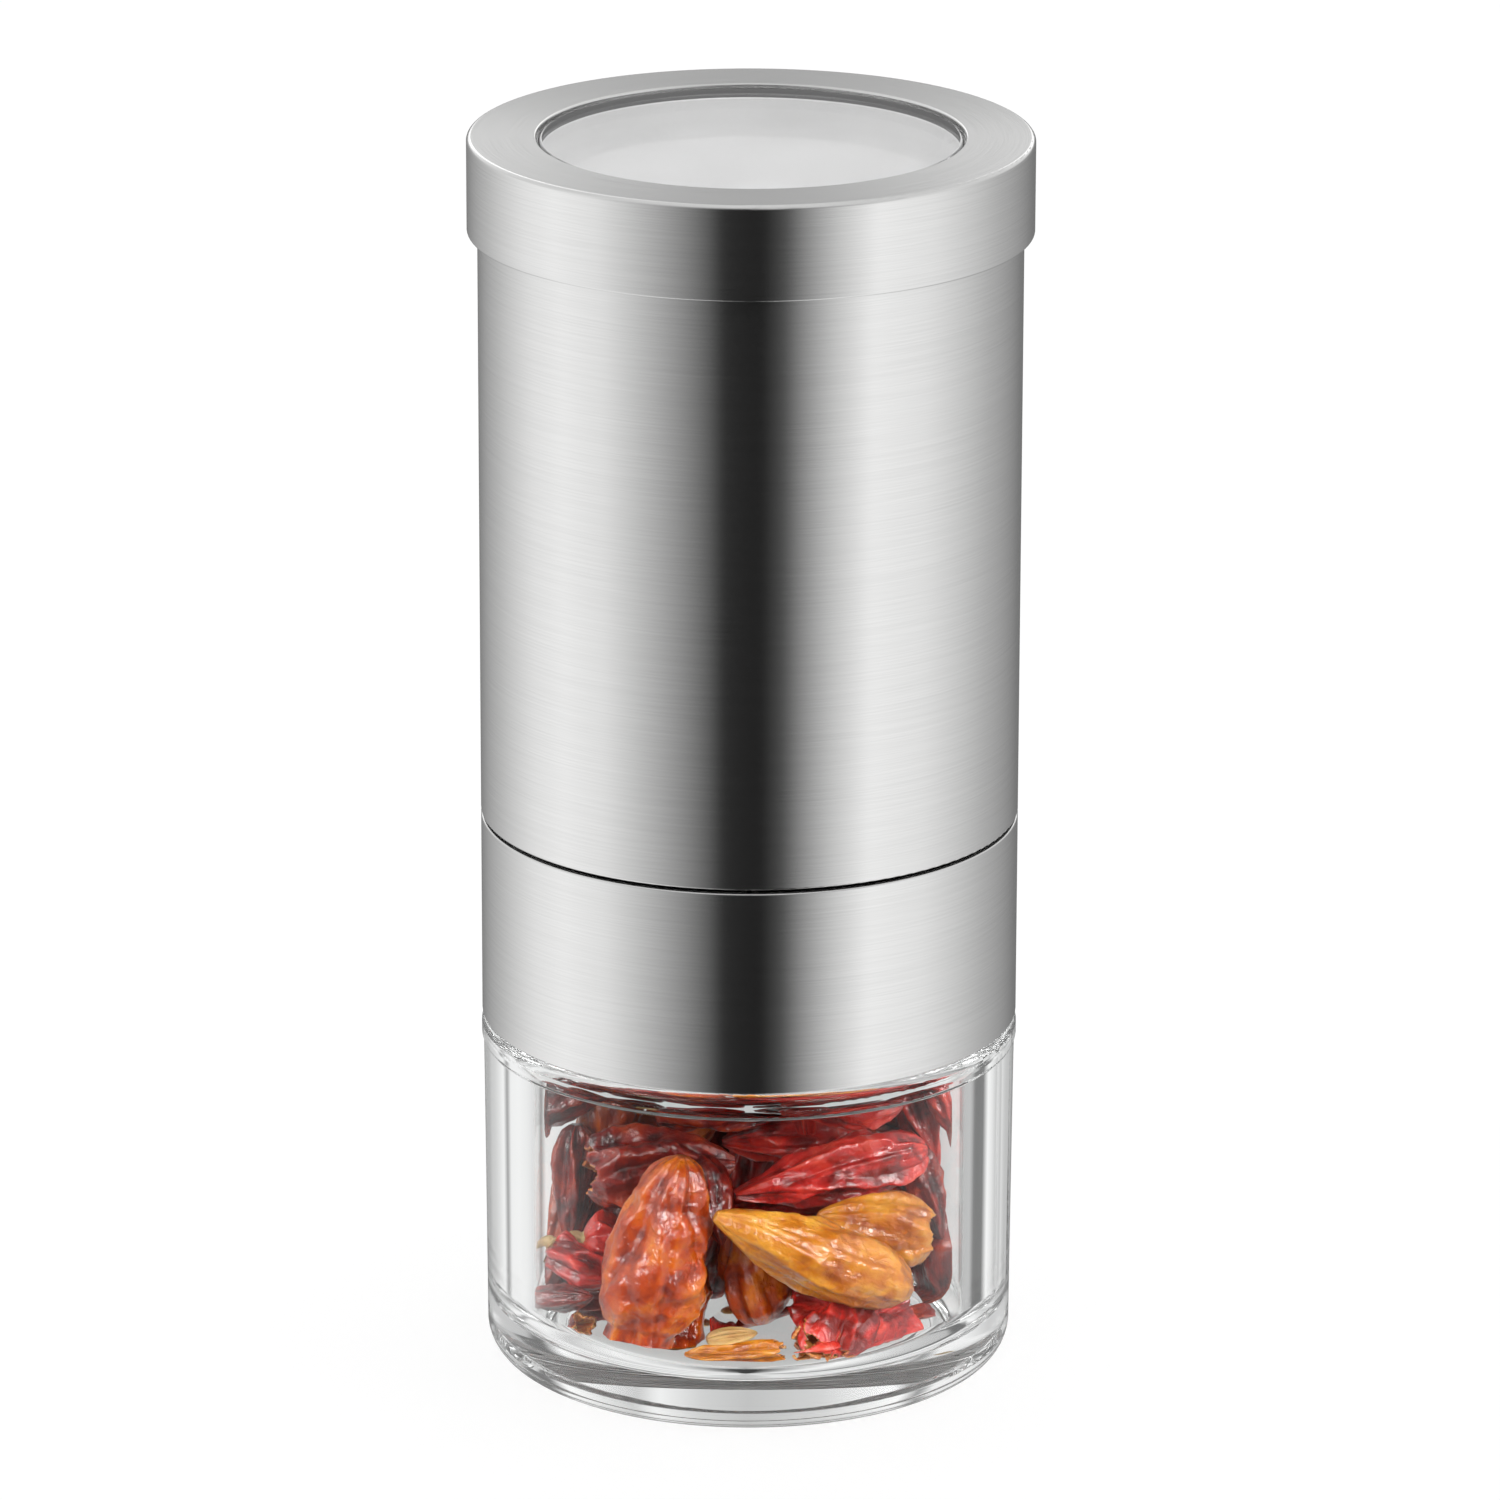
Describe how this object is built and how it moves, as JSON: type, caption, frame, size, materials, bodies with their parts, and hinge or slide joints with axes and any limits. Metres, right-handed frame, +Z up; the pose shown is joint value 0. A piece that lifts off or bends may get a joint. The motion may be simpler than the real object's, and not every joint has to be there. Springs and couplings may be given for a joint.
{
  "type": "pepper mill",
  "caption": "Upright steel chili mill on a clear glass jar of dried chilies, with a turning grip sleeve and a lift-off cap with a round window.",
  "frame": {"origin": "centre of the jar's foot on the table", "axes": "+Z up along the mill's axis, -Y towards the viewer of the picture, +X to the right"},
  "size_m": [0.0618, 0.0618, 0.14],
  "materials": {
    "jar_glass": "clear, polished",
    "window_clear": "clear, polished",
    "brushed_steel": "brushed round the body",
    "white_plastic": "satin",
    "dark_plastic": "satin",
    "ceramic": "unglazed, fine",
    "clear_silicone": "soft",
    "black_rubber": "soft",
    "screw_steel": "bright zinc",
    "shaft_steel": "ground",
    "cutter_steel": "stamped sheet",
    "spring_steel": "drawn wire",
    "brass": "turned",
    "chili_orange": "dried glossy skin",
    "chili_amber": "dried glossy skin",
    "chili_red": "dried glossy skin",
    "chili_dark_red": "dried glossy skin"
  },
  "bodies": {
    "jar": {"glass_jar": "jar_glass", "chili_upright": "chili_orange", "chili_amber": "chili_amber", "chili_top_left": "chili_dark_red", "chili_crimson": "chili_red", "chili_half": "chili_amber", "chili_leaf": "chili_red", "chili_stemmed": "chili_red", "chili_low_left": "chili_dark_red", "chili_maroon": "chili_dark_red", "chili_crumb": "chili_dark_red", "chili_flake": "chili_amber", "chili_centre": "chili_orange", "chili_top_back": "chili_red", "chili_top_rear": "chili_dark_red", "chili_top_right": "chili_red", "chili_core": "chili_red", "chili_back_left": "chili_dark_red", "chili_back_right": "chili_orange", "chili_back_floor": "chili_red", "chili_back_high_right": "chili_dark_red", "chili_back_high_left": "chili_orange", "chili_back_inner": "chili_dark_red", "chili_rear": "chili_dark_red"},
    "seal": {"jar_seal": "clear_silicone"},
    "collar": {"collar_band": "brushed_steel", "collar_insert": "white_plastic", "retaining_ring": "dark_plastic", "ring_screws": "screw_steel", "thrust_washer": "white_plastic", "drive_shaft": "shaft_steel", "lower_spacer": "white_plastic", "middle_spacer": "white_plastic", "upper_spacer": "white_plastic", "lower_cutter": "cutter_steel", "upper_cutter": "cutter_steel", "shaft_clip": "shaft_steel", "spring_seat": "shaft_steel", "adjusting_spring": "spring_steel"},
    "rotor": {"grinder_rotor": "ceramic"},
    "knob": {"adjusting_knob": "dark_plastic", "knob_insert": "brass"},
    "sleeve": {"grip_sleeve": "brushed_steel", "sleeve_liner": "white_plastic", "swivel_hub": "dark_plastic", "hub_screws": "screw_steel", "grinder_stator": "ceramic", "outlet_ring": "white_plastic", "outlet_screws": "screw_steel"},
    "cap": {"cap_shell": "brushed_steel", "cap_liner": "white_plastic", "cap_window": "window_clear", "window_gasket": "black_rubber", "cap_oring": "black_rubber"}
  },
  "joints": [
    {"name": "head_rise", "type": "slide", "parent": "jar", "child": "seal", "axis": [0, 0, 1], "range_m": [0, 0.005]},
    {"name": "head_unscrew", "type": "hinge", "parent": "seal", "child": "collar", "pos_m": [0, 0, 0.0475], "axis": [0, 0, 1], "range_deg": [0, 450.5]},
    {"name": "sleeve_turn", "type": "hinge", "parent": "collar", "child": "sleeve", "pos_m": [0, 0, 0.0618], "axis": [0, 0, 1], "continuous": true},
    {"name": "rotor_shift", "type": "slide", "parent": "collar", "child": "rotor", "axis": [0, 0, 1], "range_m": [0, 0.001], "deforming": ["adjusting_spring"]},
    {"name": "knob_turn", "type": "hinge", "parent": "rotor", "child": "knob", "pos_m": [0, 0, 0.1228], "axis": [0, 0, 1], "range_deg": [0, 300.5]},
    {"name": "cap_lift", "type": "slide", "parent": "sleeve", "child": "cap", "axis": [0, 0, 1], "range_m": [0, 0.03]}
  ],
  "couplings": [
    {"joint": "head_unscrew", "follows": "head_rise", "rad_per_m": 1570.8},
    {"joint": "knob_turn", "follows": "rotor_shift", "rad_per_m": 5236}
  ]
}
